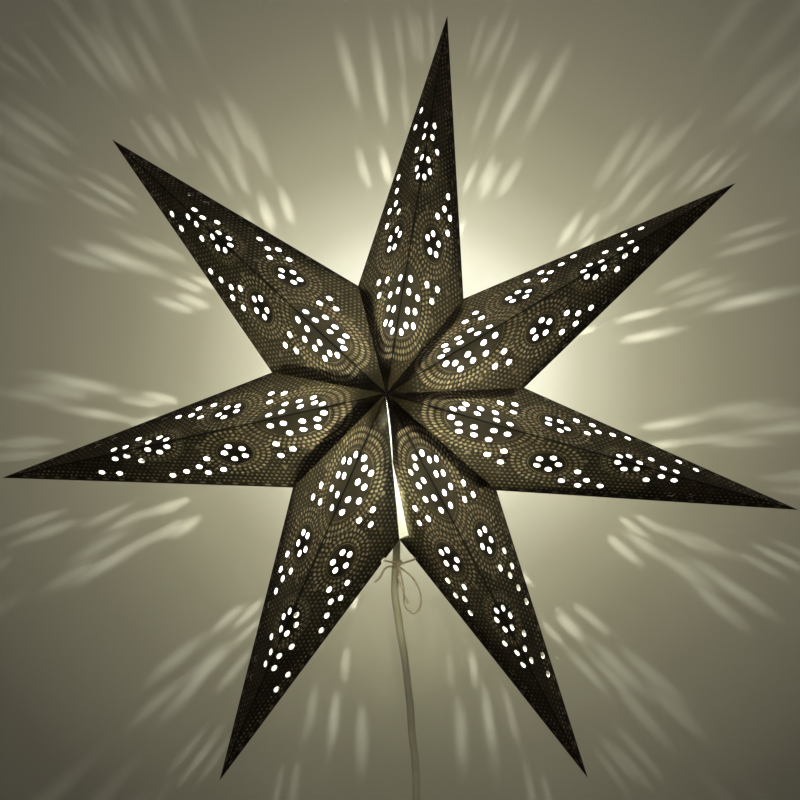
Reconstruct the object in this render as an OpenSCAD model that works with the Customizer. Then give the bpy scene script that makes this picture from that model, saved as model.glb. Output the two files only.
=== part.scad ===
// Seven-pointed folded paper star lamp with a small lampholder, bulb and mains cord.
// The star faces -Y, +Z is up, and the origin is the rear corner that hangs against the wall.
// Angles are measured in the plane of the star, from +X towards +Z.

/* [Star] */
// Distance from the middle of the star to each tip
star_r = 300; // [240:5:360]
// Distance from the middle to the inner corners between the points
valley_r = 96; // [90:1:110]
// Depth of the star from its front corner to its rear corner
star_depth = 168; // [160:2:190]
// Thickness of the folded paper
paper_t = 0.4; // [0.3:0.05:0.5]
// How unevenly the points were glued, 0 for a perfectly regular star
unevenness = 1; // [0:0.1:1]
// Turn of the whole star on its hook, in degrees
star_turn = 3; // [2:0.25:4]

/* [Paper joints] */
// Width of the glue tabs along the inner folds
tab_w = 10; // [6:0.5:11]
// Thickness of the glue line between a tab and the face that it holds
glue_t = 0.05; // [0.05:0.01:0.1]
// Width of the closing flap inside each point, at the inner corner
flap_w = 4.5; // [3:0.5:8]
// Width of the closing flap where it runs out at the front fold
flap_end_w = 11.5; // [9:0.5:14]
// Gap at the inner corner of the one seam that stays open
seam_gap = 3; // [2:0.25:4]

/* [Punched holes] */
// Diameter of the light holes
hole_d = 4.75; // [3:0.25:5.5]
// Diameter of the holes that the tying twine goes through
twine_hole_d = 5; // [4:0.5:6]
// Diameter of the small gap left where the front corners meet
centre_hole_d = 1.6; // [1:0.1:3]

/* [Lampholder and bulb] */
// Height of the cord grip's lower end below the middle of the star
holder_drop = 78; // [76:0.5:80]
// Offset of the lamp's axis behind the middle plane of the star
lamp_back = 8; // [7:0.5:9]
// Outside diameter of the lampholder
holder_d = 27; // [24:0.5:28]
// Height of the lampholder's shell
shell_h = 34; // [32:1:36]
// Height of the lampholder's lower cap
cap_h = 14; // [12:1:16]
// Diameter of the cord grip
grip_d = 12; // [9:0.5:13]
// Diameter of the bulb's screw cap
bulb_cap_d = 13.9; // [13.5:0.1:14]
// Diameter of the glass bulb
bulb_d = 45; // [40:1:48]

/* [Mains cord] */
// Diameter of the round mains cord
cord_d = 5.5; // [5:0.1:6]
// Clearance around the cord in its slot through the paper
cord_clear = 0.5; // [0.3:0.1:1]
// Turns side by side in the coil, and as many on each other
coil_rows = 4; // [3:1:4]
// Radius of the innermost turn of the coil
coil_turn_r = 23.5; // [22:0.5:24]
// Width of the strap around the coil
coil_strap_w = 8; // [6:1:12]
// Thickness of the strap around the coil
coil_strap_t = 1.2; // [1:0.1:2]

/* [Plug] */
// Width of the flat plug across its pins
plug_w = 34; // [30:1:36]
// Thickness of the plug
plug_t = 14; // [12:0.5:15]
// Length of the plug's body
plug_l = 34; // [30:1:38]
// Length of the plug's tapered strain relief
relief_l = 22; // [20:1:30]
// Diameter of the contact pins
pin_d = 4; // [3.8:0.1:4.2]
// Length of the contact pins
pin_l = 19; // [17:0.5:20]
// Distance between the pins
pin_gap = 18; // [17:0.5:19]

/* [Tying twine] */
// Diameter of the twine
twine_d = 1.5; // [1:0.1:1.6]
// Diameter of the knot
knot_d = 5; // [4:0.5:5]
// Distance of the twine's hole from the inner corner, on the point before the open seam
twine_hole_before = 16; // [14:1:18]
// Distance of the twine's hole from the inner corner, on the point after the open seam
twine_hole_after = 19; // [17:1:21]

/* [Hidden] */

paper_colour = [0.27, 0.21, 0.13];
white_plastic = [0.9, 0.89, 0.85];
twine_colour = [0.62, 0.52, 0.36];
metal_colour = [0.75, 0.75, 0.73];

points = 7;
pitch = 360 / points;
half_depth = star_depth / 2;
// The seam after this point is tied and not glued
open_seam = 3;

// Each tip and inner corner sits a few degrees off its even place, as it was glued by hand
tip_lean = [-4.5, -2.5, 1, 4.5, 3.5, 0, -2];
valley_lean = [-3.5, -2, 1.5, 5.5, 2.5, 0, -5.5];
valley_out = [-1.5, -0.5, 0.5, 2, 0.5, 0, -1];

function unit(v) = v / norm(v);
function in_plane(r, a) = [r * cos(a), -half_depth, r * sin(a)];
function previous(i) = (i + points - 1) % points;
function tip_angle(i) = 90 - star_turn - i * pitch + unevenness * tip_lean[i];
function valley_angle(i) = 90 - star_turn - (i + 0.5) * pitch + unevenness * valley_lean[i];
function corner_r(i) = valley_r + unevenness * valley_out[i];
function half_gap(i) = i == open_seam ? seam_gap / 2 / corner_r(i) * 180 / PI : 0;

// Corners of a point: the shared front and rear corners, its tip, and its inner corners on the
// near side, towards the previous point, and on the far side, towards the next one
front_corner = [0, -star_depth, 0];
rear_corner = [0, 0, 0];
function tip(i) = in_plane(star_r, tip_angle(i));
function far_corner(i) = in_plane(corner_r(i), valley_angle(i) + half_gap(i));
function near_corner(i) =
    let (j = previous(i)) in_plane(corner_r(j), valley_angle(j) - half_gap(j));
function side_corner(i, side) = side > 0 ? near_corner(i) : far_corner(i);

// Outward normal of a front face. side is 1 on the near face and -1 on the far one.
function normal(i, side) =
    side * unit(cross(tip(i) - front_corner, side_corner(i, side) - front_corner));

// Length of a point's fold, and the place of the inner corner in face coordinates
function fold_l(i) = norm(tip(i) - front_corner);
function face_corner(i, side) =
    let (along = unit(tip(i) - front_corner),
         v = side_corner(i, side) - front_corner, s = v * along)
    [s, norm(v - s * along)];

// Sliding the point's solid back by this much leaves one paper thickness under all four faces
function paper_shift(i) =
    let (u = unit(tip(i) - in_plane(0, 0)), w = cross([0, 1, 0], u),
         a = normal(i, 1), b = normal(i, -1),
         e = u + w * (a * u - b * u) / (b * w - a * w))
    -e * paper_t / (a * e);

// The whole wedge of one point
module point_wedge(i)
    polyhedron(points = [front_corner, rear_corner, near_corner(i), far_corner(i), tip(i)],
               faces = [[0, 2, 4], [0, 4, 3], [1, 4, 2], [1, 3, 4], [2, 0, 1], [0, 3, 1]]);

// Places its children on a face: x runs along the fold from the middle to the tip, y across the
// face to the inner corner, and z out of the face
module on_face(i, front, side) {
    corner = front ? front_corner : rear_corner;
    n = normal(i, side);
    out = front ? n : [n[0], -n[1], n[2]];
    along = unit(tip(i) - corner);
    across = cross(out, along);
    multmatrix([[along[0], across[0], out[0], corner[0]],
                [along[1], across[1], out[1], corner[1]],
                [along[2], across[2], out[2], corner[2]], [0, 0, 0, 1]])
        mirror([0, (front ? side : -side) > 0 ? 0 : 1, 0]) children();
}

// A point k along the edge from a to b and d into the face
function from_edge(a, b, k, d) = let (e = unit(b - a)) a + k * e + d * [e[1], -e[0]];

// A layer under a face, between two depths
module layer(outline, top, bottom)
    translate([0, 0, -bottom]) linear_extrude(bottom - top) polygon(outline);

// Light holes of one half of a point, as distance along the fold and distance from it
middle_holes = [[49, 5.5], [56, 9.7], [59, 17.7], [67, 8.8], [70, 17], [81, 7], [81, 17.5],
                [86, 34], [91, 6.6], [95.5, 25.5], [97.5, 38]];
trail_holes = [[145, 40], [151.5, 25.5], [157.5, 40], [161, 32], [172.5, 34], [184.5, 35]];
tip_holes = [[199, 13.5], [207, 5.6], [217, 5.8], [222, 21.5], [234.5, 16.5]];
ring_holes = [[121.5, 23], [122.5, 30.5], [130, 18], [131.5, 31.5], [136, 23.5]];
flower_at = 180.5;
flower_r = 8.8;
flower_turn = 25;
function flower_holes(side) =
    [for (k = [0:2]) let (a = side * (flower_turn + 60 * k) + (side > 0 ? 0 : 180))
        [flower_at + flower_r * cos(a), abs(flower_r * sin(a))]];
function light_holes(side) =
    concat(middle_holes, ring_holes, trail_holes, flower_holes(side), tip_holes);
punch_depth = paper_t + 0.3;

module punch(side)
    for (p = light_holes(side))
        translate([p[0], p[1], -punch_depth])
            cylinder(d = hole_d, h = punch_depth + 1, $fn = 24);

// The folded sheet of one point with its light holes
module folded_sheet(i)
    difference() {
        point_wedge(i);
        translate(paper_shift(i)) point_wedge(i);
        for (front = [true, false], side = [1, -1])
            on_face(i, front, side) punch(side);
    }

// The closing flap, glued inside the far front face along its outer edge
overlap = 0.02;
module closing_flap(i) {
    v = face_corner(i, -1);
    t = [fold_l(i), 0];
    run_out = norm(t - v) - flap_end_w * (t[0] - v[0]) / v[1];
    intersection() {
        point_wedge(i);
        on_face(i, true, -1)
            layer([v, t, from_edge(v, t, run_out, flap_end_w), from_edge(v, t, flap_w, flap_w)],
                  paper_t - overlap, 2 * paper_t);
    }
}

// The glue tabs of the far side lie under the next point's near faces. Each starts at the inner
// fold, has slanted ends, and hangs on a narrow root under its own face.
tab_start = 5;
tab_end = 7;
tab_slant = 13;
root_w = 1;
root_over = 1.2;
tab_bottom = 2 * paper_t + glue_t;

module tab(v)
    layer([from_edge([0, 0], v, tab_start, -root_over),
           from_edge([0, 0], v, tab_start + tab_slant, tab_w),
           from_edge([0, 0], v, norm(v) - tab_end - tab_slant, tab_w),
           from_edge([0, 0], v, norm(v) - tab_end, -root_over)],
          paper_t + glue_t, tab_bottom);

module tab_root(v, bottom, first, last)
    layer([from_edge([0, 0], v, first, -root_over), from_edge([0, 0], v, first + root_w, root_w),
           from_edge([0, 0], v, last - root_w, root_w), from_edge([0, 0], v, last, -root_over)],
          paper_t / 2, bottom);

module glued_tabs(i) {
    next = (i + 1) % points;
    v = face_corner(i, -1);
    for (front = [true, false]) {
        on_face(next, front, 1) tab(face_corner(next, 1));
        intersection() {
            point_wedge(i);
            on_face(i, front, -1) tab_root(v, tab_bottom, tab_start, norm(v) - tab_end);
        }
    }
}

// At the open seam the tabs are not glued. They run on straight under the next point. The rear
// one is narrower and stops short of the cord. The front value comes first.
free_drop = 0.3;
free_start = 20;
free_end = [8, 26];
free_w = [9, 4];
module free_tabs(i) {
    v = face_corner(i, -1);
    bottom = 2 * paper_t + free_drop;
    for (front = [true, false]) {
        last = norm(v) - free_end[front ? 0 : 1];
        width = free_w[front ? 0 : 1];
        on_face(i, front, -1)
            layer([from_edge([0, 0], v, free_start, root_w),
                   from_edge([0, 0], v, free_start + tab_slant, -width),
                   from_edge([0, 0], v, last - tab_slant, -width),
                   from_edge([0, 0], v, last, root_w)],
                  paper_t + free_drop, bottom);
        intersection() {
            point_wedge(i);
            on_face(i, front, -1) tab_root(v, bottom, free_start, last);
        }
    }
}

// A round hole through the folded outer edge, for the twine
twine_hole_l = 20;
function twine_hole_at(i, side) =
    let (v = side_corner(i, side))
    v + (side > 0 ? twine_hole_after : twine_hole_before) * unit(tip(i) - v);
module twine_hole(i, side)
    translate(twine_hole_at(i, side)) rotate([90, 0, 0])
        cylinder(d = twine_hole_d, h = twine_hole_l, center = true, $fn = 24);

// The slot that the cord leaves through, open to the seam, in the rear near face
lamp_y = -half_depth + lamp_back;
slot_d = cord_d + 2 * cord_clear;
slot_h = 26;
module cord_slot()
    translate([0, lamp_y, -holder_drop - slot_h]) {
        cylinder(d = slot_d, h = slot_h, $fn = 32);
        translate([0, -slot_d / 2, 0]) cube([slot_d, slot_d, slot_h]);
    }

centre_hole_l = 12;
module star_point(i)
    color(paper_colour) difference() {
        union() {
            folded_sheet(i);
            closing_flap(i);
            if (i == open_seam) free_tabs(i);
            else glued_tabs(i);
        }
        translate(front_corner - [0, 1, 0]) rotate([-90, 0, 0])
            cylinder(d = centre_hole_d, h = centre_hole_l, $fn = 24);
        if (i == open_seam) twine_hole(i, -1);
        if (i == open_seam + 1) {
            twine_hole(i, 1);
            cord_slot();
        }
    }

// Lampholder: a lower cap with the cord grip, and the shell that the bulb screws into
grip_h = 6;
shoulder_h = 4;
shell_floor = 6;
bulb_cap_clear = 0.5;
bulb_seat = 0.3;
holder_z = -holder_drop;
shell_z = holder_z + cap_h;
module turned(z, outline)
    translate([0, lamp_y, z]) rotate_extrude($fn = 64) polygon(outline);

module lampholder_cap()
    color(white_plastic)
        turned(holder_z, [[0, 0], [grip_d / 2, 0], [grip_d / 2, grip_h],
                          [holder_d / 2 - 2, grip_h + shoulder_h], [holder_d / 2, grip_h + shoulder_h + 2],
                          [holder_d / 2, cap_h], [0, cap_h]]);

module lampholder_shell() {
    bore_r = bulb_cap_d / 2 + bulb_cap_clear;
    color(white_plastic)
        turned(shell_z, [[0, 0], [holder_d / 2, 0], [holder_d / 2, shell_h - 2],
                         [holder_d / 2 - 2, shell_h], [bore_r, shell_h], [bore_r, shell_floor],
                         [0, shell_floor]]);
}

// Bulb: its screw cap stands on the holder's centre contact, and the glass starts on the cap
bulb_cap_h = 27;
neck_h = 8;
neck_r = 10;
bulb_z = shell_z + shell_floor + bulb_seat;
glass_z = bulb_z + bulb_cap_h;
module bulb_screw_cap()
    color(metal_colour)
        turned(bulb_z, [[0, 0], [3, 0], [4.5, 2], [bulb_cap_d / 2, 5],
                        [bulb_cap_d / 2, bulb_cap_h], [0, bulb_cap_h]]);

// The centre of the glass ball lies so that the neck runs into it
ball_z = glass_z + neck_h + sqrt(pow(bulb_d / 2, 2) - pow(neck_r, 2));
module bulb_glass()
    color([0.95, 0.93, 0.85, 0.6]) union() {
        turned(glass_z, [[0, 0], [bulb_cap_d / 2 - 0.2, 0], [neck_r, neck_h], [0, neck_h + 4]]);
        translate([0, lamp_y, ball_z]) rotate_extrude($fn = 96)
            intersection() {
                circle(d = bulb_d, $fn = 96);
                translate([0, -bulb_d / 2]) square([bulb_d, bulb_d]);
            }
    }

// Sweeps a round tube along the points of a route
function heading(p, i) = unit(p[min(i + 1, len(p) - 1)] - p[max(i - 1, 0)]);
function square_to(u, t) = unit(u - (u * t) * t);
function ring_starts(p) =
    [for (i = 0, u = square_to([0.3, 1, 0.2], heading(p, 0)); i < len(p); i = i + 1,
          u = i < len(p) ? square_to(u, heading(p, i)) : u) u];
module tube(p, d, sides = 8) {
    last = len(p) - 1;
    starts = ring_starts(p);
    rings = [for (i = [0:last], k = [0:sides - 1])
        let (a = 360 * k / sides, t = heading(p, i), u = starts[i])
        p[i] + d / 2 * (cos(a) * u + sin(a) * cross(t, u))];
    sleeve = [for (i = [0:last - 1], k = [0:sides - 1])
        let (a = i * sides + k, b = i * sides + (k + 1) % sides)
        each [[a, b, a + sides], [b, b + sides, a + sides]]];
    ends = [[for (k = [sides - 1:-1:0]) k], [for (k = [0:sides - 1]) last * sides + k]];
    polyhedron(points = rings, faces = [for (f = concat(sleeve, ends)) [for (k = [len(f) - 1:-1:0]) f[k]]]);
}

// The mains cord hangs from the cord grip, through the slot and down to the coil
cord_route = [[0, lamp_y, holder_z], [0, lamp_y, -92], [0, lamp_y, -108], [-1, -76, -124],
              [-1, -76, -138], [1, -76, -152], [3, -76, -166], [6, -75, -184], [8, -74, -202],
              [10, -73, -220], [11, -72, -238], [13, -71, -256], [14, -70, -274],
              [14, -70, -288], [14, -70, -300], [15, -70, -306], [17.5, -70, -312.5]];
module mains_cord() color(white_plastic) tube(cord_route, cord_d, 10);

// The rest of the cord is wound into a neat round coil that hangs below
coil_centre = [6.5, -78.25, -356];
coil_inner_r = coil_turn_r - cord_d / 2;
coil_outer_r = coil_inner_r + coil_rows * cord_d;
coil_l = coil_rows * cord_d;
module cord_coil()
    color(white_plastic) translate(coil_centre) rotate([90, 0, 0])
        rotate_extrude($fn = 96)
            translate([coil_inner_r, -coil_l / 2]) square([coil_outer_r - coil_inner_r, coil_l]);

strap_clear = 0.5;
module coil_strap() {
    inner = [coil_outer_r - coil_inner_r, coil_l] + [1, 1] * 2 * strap_clear;
    outer = inner + [1, 1] * 2 * coil_strap_t;
    color(metal_colour)
        translate(coil_centre - [(coil_inner_r + coil_outer_r) / 2, 0, coil_strap_w / 2])
            linear_extrude(coil_strap_w) difference() {
                square(outer, center = true);
                square(inner, center = true);
            }
}

// The tail leaves the coil's front layer and hangs beside it with the plug
tail_route = [[46, -86.5, -332.5], [52, -86.5, -338], [56.5, -86.5, -345.5],
              [58, -86.5, -354], [58, -86.5, -360]];
module cord_tail() color(white_plastic) tube(tail_route, cord_d, 10);

// Flat plug with two pins, hanging from the tail
plug_top = tail_route[len(tail_route) - 1];
relief_top_d = 7;
relief_low_d = 11;
shoulder_l = 10;
module plug_body()
    color(white_plastic) translate(plug_top) union() {
        translate([0, 0, -relief_l])
            cylinder(d1 = relief_low_d, d2 = relief_top_d, h = relief_l, $fn = 32);
        translate([-plug_t / 2, 0, -relief_l]) rotate([90, 0, 90]) linear_extrude(plug_t)
            polygon([[-relief_low_d / 2, 0], [-plug_w / 2, -shoulder_l], [-plug_w / 2, -plug_l],
                     [plug_w / 2, -plug_l], [plug_w / 2, -shoulder_l], [relief_low_d / 2, 0]]);
    }
module plug_pin(side)
    color(metal_colour)
        translate(plug_top + [0, side * pin_gap / 2, -relief_l - plug_l - pin_l])
            cylinder(d = pin_d, h = pin_l, $fn = 32);

// Tan twine: a string through the edges of the two points at the open seam, knotted in front of
// the cord, with one long bow loop and two short ends
knot_at = [2.5, -81, -114.5];
mid = -half_depth;
tie_route = [[0, -81.5, -114.3], [-4, -83, -113.8], twine_hole_at(4, 1), [-11, mid, -109.5],
             [-10, mid, -105], [-7, mid, -100], [-3, mid, -95.5], [1, mid, -92], [4.5, mid, -91],
             [8, mid, -92.5], [12, mid, -97], [15.5, mid, -102], [17.5, mid, -106.5],
             twine_hole_at(3, -1), [11, -82.5, -112.8], [5, -81.5, -114.3]];
bow_route = [[2.7, -81, -117.6], [6, -83, -120], [10, -85, -123], [13.5, -86, -127],
             [15.7, -86, -130.5], [17.9, -86, -135.5], [18.6, -86, -140], [18.2, -85.5, -145],
             [16.4, -85, -149], [13, -84.5, -151], [9.6, -84, -149.5], [7.3, -83.5, -146.5],
             [6.2, -83, -142.5], [6, -82.5, -138], [5.8, -82, -133.5], [5, -81.5, -128.7],
             [3.7, -81, -123.5], [1.7, -80, -117.6]];
right_route = [[1.2, -82.5, -117], [0.6, -84.5, -120.5], [1.6, -86.5, -124.5], [3.4, -87.5, -129],
               [5.2, -88, -133.5], [7, -88, -138.5], [9.5, -87.5, -143.5]];
left_route = [[0.2, -82.4, -115.8], [-3.5, -84, -117], [-7.5, -84.5, -118.8], [-10, -84, -122.5],
              [-12, -83, -126], [-15.5, -82, -128.5]];
module tie_string() color(twine_colour) tube(tie_route, twine_d);
module tie_knot() color(twine_colour) translate(knot_at) sphere(d = knot_d, $fn = 32);
module bow_loop() color(twine_colour) tube(bow_route, twine_d);
module twine_end(route) color(twine_colour) tube(route, twine_d);

star_point(0);  // star_point_1
star_point(1);  // star_point_2
star_point(2);  // star_point_3
star_point(3);  // star_point_4
star_point(4);  // star_point_5
star_point(5);  // star_point_6
star_point(6);  // star_point_7
lampholder_cap();
lampholder_shell();
bulb_screw_cap();
bulb_glass();
mains_cord();
cord_coil();
coil_strap();
cord_tail();
plug_body();
plug_pin(-1);  // plug_pin_near
plug_pin(1);  // plug_pin_far
tie_string();
tie_knot();
bow_loop();
twine_end(right_route);  // twine_end_right
twine_end(left_route);  // twine_end_left
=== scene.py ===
import math

import bmesh
import bpy
from bpy.props import FloatProperty, FloatVectorProperty, IntProperty, PointerProperty
from mathutils import Matrix, Vector


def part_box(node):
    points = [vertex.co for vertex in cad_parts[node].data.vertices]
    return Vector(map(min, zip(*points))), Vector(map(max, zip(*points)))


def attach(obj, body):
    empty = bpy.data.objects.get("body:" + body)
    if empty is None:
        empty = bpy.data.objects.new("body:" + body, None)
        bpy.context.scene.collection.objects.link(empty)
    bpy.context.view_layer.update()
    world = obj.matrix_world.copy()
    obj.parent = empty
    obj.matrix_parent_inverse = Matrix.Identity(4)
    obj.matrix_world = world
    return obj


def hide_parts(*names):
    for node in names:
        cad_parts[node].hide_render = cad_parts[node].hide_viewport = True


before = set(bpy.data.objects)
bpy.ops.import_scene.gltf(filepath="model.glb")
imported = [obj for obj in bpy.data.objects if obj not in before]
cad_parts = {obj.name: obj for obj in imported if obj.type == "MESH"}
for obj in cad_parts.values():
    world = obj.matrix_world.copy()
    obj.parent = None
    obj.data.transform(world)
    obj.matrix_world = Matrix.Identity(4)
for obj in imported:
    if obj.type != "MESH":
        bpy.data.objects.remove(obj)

bl_info = {
    "name": "Paper star lamp",
    "version": (1, 0, 0),
    "blender": (4, 5, 0),
    "location": "3D View > Sidebar > Star lamp",
    "description": "Folded printed paper, lampholder, bulb, cord and twine of a paper star lamp",
    "category": "Object",
}

MM = 0.001
POINTS = 7
PITCH = 360 / POINTS
# The seam after this point is tied and not glued
OPEN_SEAM = 3


# Sizes and colours that a user would change

def length_property(name, description, default):
    return FloatProperty(name=name, description=description, default=default,
                         unit="LENGTH", subtype="DISTANCE")


def power_property(name, description, default):
    return FloatProperty(name=name, description=description, default=default, unit="POWER")


def colour_property(name, description, default):
    return FloatVectorProperty(name=name, description=description, default=default, size=3,
                               min=0, max=1, subtype="COLOR")


class StarSizes(bpy.types.PropertyGroup):
    tip_r: length_property("Tip radius", "Distance from the middle to each tip", 0.3)
    valley_r: length_property("Inner corner radius",
                              "Distance from the middle to the inner corners", 0.096)
    depth: length_property("Depth", "From the front corner to the rear corner", 0.168)
    turn: FloatProperty(name="Turn", description="Turn of the star on its hook",
                        default=math.radians(3), unit="ROTATION", subtype="ANGLE")
    paper_t: length_property("Paper thickness", "Thickness of the folded paper", 0.0004)
    hole_d: length_property("Light hole diameter", "Diameter of the punched holes", 0.00475)
    hole_sides: IntProperty(name="Light hole sides", description="Edges round each punched hole",
                            default=20, min=12)
    tab_w: length_property("Tab width", "Width of the glue tabs", 0.01)
    seam_gap: length_property("Seam gap", "Gap of the open seam at its inner corner", 0.003)
    twine_hole_d: length_property("Twine hole diameter",
                                  "Diameter of the holes that the twine goes through", 0.005)
    centre_hole_d: length_property("Centre gap", "Gap where the front corners meet", 0.0016)


class LampSizes(bpy.types.PropertyGroup):
    axis_y: length_property("Lamp axis", "Place of the lamp's axis in depth", -0.076)
    holder_z: length_property("Holder foot", "Height of the cord grip's lower end", -0.078)
    light_z: length_property("Light height", "Height of the middle of the glow", -0.001)
    cord_d: length_property("Cord diameter", "Diameter of the mains cord", 0.0055)
    cord_l: length_property("Cord length", "Length of the mains cord to its plug", 3.5)
    twine_d: length_property("Twine diameter", "Diameter of the tying twine", 0.0015)


class Finish(bpy.types.PropertyGroup):
    ink: colour_property("Print", "Dark brown print", (0.022, 0.017, 0.009))
    ink_light: colour_property("Worn print", "Where the print is thinner", (0.042, 0.031, 0.018))
    # The inner print is lighter than the rest as painted glow, for the lamp's light through the
    # middle of each point
    heart: colour_property("Inner print", "Print among the middle holes", (0.09, 0.078, 0.052))
    gold: colour_property("Dots", "Golden dots in the print", (0.14, 0.11, 0.062))
    gold_light: colour_property("Bright dots", "The brightest dots", (0.32, 0.26, 0.17))
    rust: colour_property("Rusty dots", "Reddish dots in the print", (0.16, 0.085, 0.055))
    ink_lit: colour_property("Print lit from behind", "Lamp light through the dark print",
                             (0.0009, 0.0007, 0.0003))
    heart_lit: colour_property("Inner print lit from behind",
                               "Lamp light through the print among the middle holes",
                               (0.0055, 0.0046, 0.0026))
    gold_lit: colour_property("Dots lit from behind", "Lamp light through the golden dots",
                              (0.024, 0.019, 0.0092))
    gold_lit_light: colour_property("Bright dots lit from behind",
                                    "Lamp light through the brightest dots",
                                    (0.075, 0.063, 0.037))
    cream: colour_property("Bare paper", "Unprinted inside of the paper", (0.82, 0.8, 0.72))
    plastic: colour_property("Plastic", "Yellowed white plastic of cord, plug and holder",
                             (0.5, 0.475, 0.33))
    nickel: colour_property("Nickel", "Plated metal", (0.66, 0.64, 0.6))
    twine: colour_property("Twine", "Tan tying twine", (0.85, 0.73, 0.46))
    strap: colour_property("Strap", "Fabric strap round the coil", (0.05, 0.05, 0.055))


class Lighting(bpy.types.PropertyGroup):
    filament: power_property("Filament light", "Power of the sharp light", 26.0)
    glow: power_property("Glass light", "Power of the soft light of the glass", 3.5)
    studio: power_property("Studio light", "Power of the soft light in front", 9.0)
    seam: power_property("Seam light", "Power of the light let out by the seam", 1.3)
    room: FloatProperty(name="Room light", description="Strength of the even room light",
                        default=0.1)


# Places of the star's corners

TIP_LEAN = (-4.5, -2.5, 1, 4.5, 3.5, 0, -2)
VALLEY_LEAN = (-3.5, -2, 1.5, 5.5, 2.5, 0, -5.5)
VALLEY_OUT = (-1.5, -0.5, 0.5, 2, 0.5, 0, -1)
# Both edges of the open seam are turned the same way, so that they almost meet
SEAM_TURN = {1: 1.0, -1: 0.9}


def in_plane(star, radius, degrees):
    a = math.radians(degrees)
    return Vector((radius * math.cos(a), -star.depth / 2, radius * math.sin(a)))


def tip_of(star, i):
    return in_plane(star, star.tip_r, 90 - math.degrees(star.turn) - i * PITCH + TIP_LEAN[i])


def corner_of(star, i, side):
    """Inner corner of a point, on its near side (1), by the point before, or on its far one (-1)."""
    j = (i + POINTS - 1) % POINTS if side > 0 else i
    radius = star.valley_r + VALLEY_OUT[j] * MM
    open_turn = math.degrees(star.seam_gap / 2 / radius) if j == OPEN_SEAM else 0
    angle = 90 - math.degrees(star.turn) - (j + 0.5) * PITCH + VALLEY_LEAN[j]
    return in_plane(star, radius, angle - SEAM_TURN[side] * open_turn)


def face_frame(star, i, front, side):
    """Matrix from face coordinates to the row frame, with the inner corner and the fold's length.

    In face coordinates x runs along the fold, y across the face, and z out of it."""
    corner = Vector((0, -star.depth if front else 0, 0))
    tip = tip_of(star, i)
    inner = corner_of(star, i, side) - corner
    along = (tip - corner).normalized()
    rest = inner - along * inner.dot(along)
    across = rest.normalized()
    out = along.cross(across)
    if out.y * (-1 if front else 1) < 0:
        out = -out
    matrix = Matrix((along, across, out)).transposed().to_4x4()
    matrix.translation = corner
    return matrix, Vector((inner.dot(along), rest.length)), (tip - corner).length


def from_edge(a, b, along, inward):
    """A point some way along the edge from a to b, and some way into the face."""
    e = (Vector(b) - Vector(a)).normalized()
    return Vector(a) + along * e + inward * Vector((e.y, -e.x))


# Helpers for materials

class Graph:
    """Adds nodes to a tree and links them."""

    def __init__(self, tree):
        self.tree = tree

    def node(self, kind, **settings):
        made = self.tree.nodes.new(kind)
        for name, value in settings.items():
            setattr(made, name, value)
        return made

    def put(self, socket, value):
        if isinstance(value, bpy.types.NodeSocket):
            self.tree.links.new(value, socket)
        elif value is not None:
            socket.default_value = value

    def math(self, operation, *values):
        made = self.node("ShaderNodeMath", operation=operation)
        for socket, value in zip(made.inputs, values):
            self.put(socket, value)
        return made.outputs[0]

    def vector(self, operation, *values):
        made = self.node("ShaderNodeVectorMath", operation=operation)
        for socket, value in zip(made.inputs, values):
            self.put(socket, value)
        return made.outputs["Value" if operation in ("LENGTH", "DOT_PRODUCT") else "Vector"]

    def step(self, value, start, end):
        """0 before start and 1 after end, with a smooth passage between."""
        made = self.node("ShaderNodeMapRange", interpolation_type="SMOOTHSTEP")
        for socket, given in zip(made.inputs, (value, start, end, 0.0, 1.0)):
            self.put(socket, given)
        return made.outputs[0]

    def mix(self, share, first, second):
        made = self.node("ShaderNodeMix", data_type="RGBA")
        self.put(made.inputs[0], share)
        for socket, value in ((made.inputs[6], first), (made.inputs[7], second)):
            self.put(socket, (*value, 1) if isinstance(value, (tuple, list)) else value)
        return made.outputs[2]

    def group(self, name, **values):
        made = self.node("ShaderNodeGroup", node_tree=bpy.data.node_groups[name])
        for socket, value in values.items():
            self.put(made.inputs[socket], value)
        return made.outputs

    def noise(self, place, scale, detail=2.0, roughness=0.5):
        made = self.node("ShaderNodeTexNoise")
        self.put(made.inputs["Vector"], place)
        made.inputs["Scale"].default_value = scale
        made.inputs["Detail"].default_value = detail
        made.inputs["Roughness"].default_value = roughness
        return made.outputs["Fac"]

    def place(self):
        return self.node("ShaderNodeTexCoord").outputs["Object"]

    def uv(self, name):
        return self.node("ShaderNodeUVMap", uv_map=name).outputs[0]


def new_group(name, inputs, outputs):
    """An empty node group with its sockets, and its graph, inputs and outputs."""
    tree = bpy.data.node_groups.new(name, "ShaderNodeTree")
    for label, kind, default in inputs:
        socket = tree.interface.new_socket(name=label, in_out="INPUT", socket_type=kind)
        if default is not None:
            socket.default_value = default
    for label, kind in outputs:
        tree.interface.new_socket(name=label, in_out="OUTPUT", socket_type=kind)
    graph = Graph(tree)
    return graph, graph.node("NodeGroupInput").outputs, graph.node("NodeGroupOutput").inputs


NUMBER, VECTOR = "NodeSocketFloat", "NodeSocketVector"


def dot_outputs(g, given, out, sideways, outward, row, phase):
    """Ends a group of dotted rows: the dots, and a chance value for each dot."""
    gap = g.math("SQRT", g.math("ADD", g.math("POWER", sideways, 2.0),
                                g.math("POWER", g.math("DIVIDE", outward, given["Long"]), 2.0)))
    g.put(out["Dots"], g.step(gap, g.math("ADD", given["Dot"], 0.00025),
                              g.math("SUBTRACT", given["Dot"], 0.00015)))
    lot = g.node("ShaderNodeCombineXYZ")
    g.put(lot.inputs[0], row)
    g.put(lot.inputs[1], g.math("FLOOR", phase))
    chance = g.node("ShaderNodeTexWhiteNoise", noise_dimensions="3D")
    g.put(chance.inputs["Vector"], lot.outputs[0])
    g.put(out["Chance"], chance.outputs["Value"])


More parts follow.
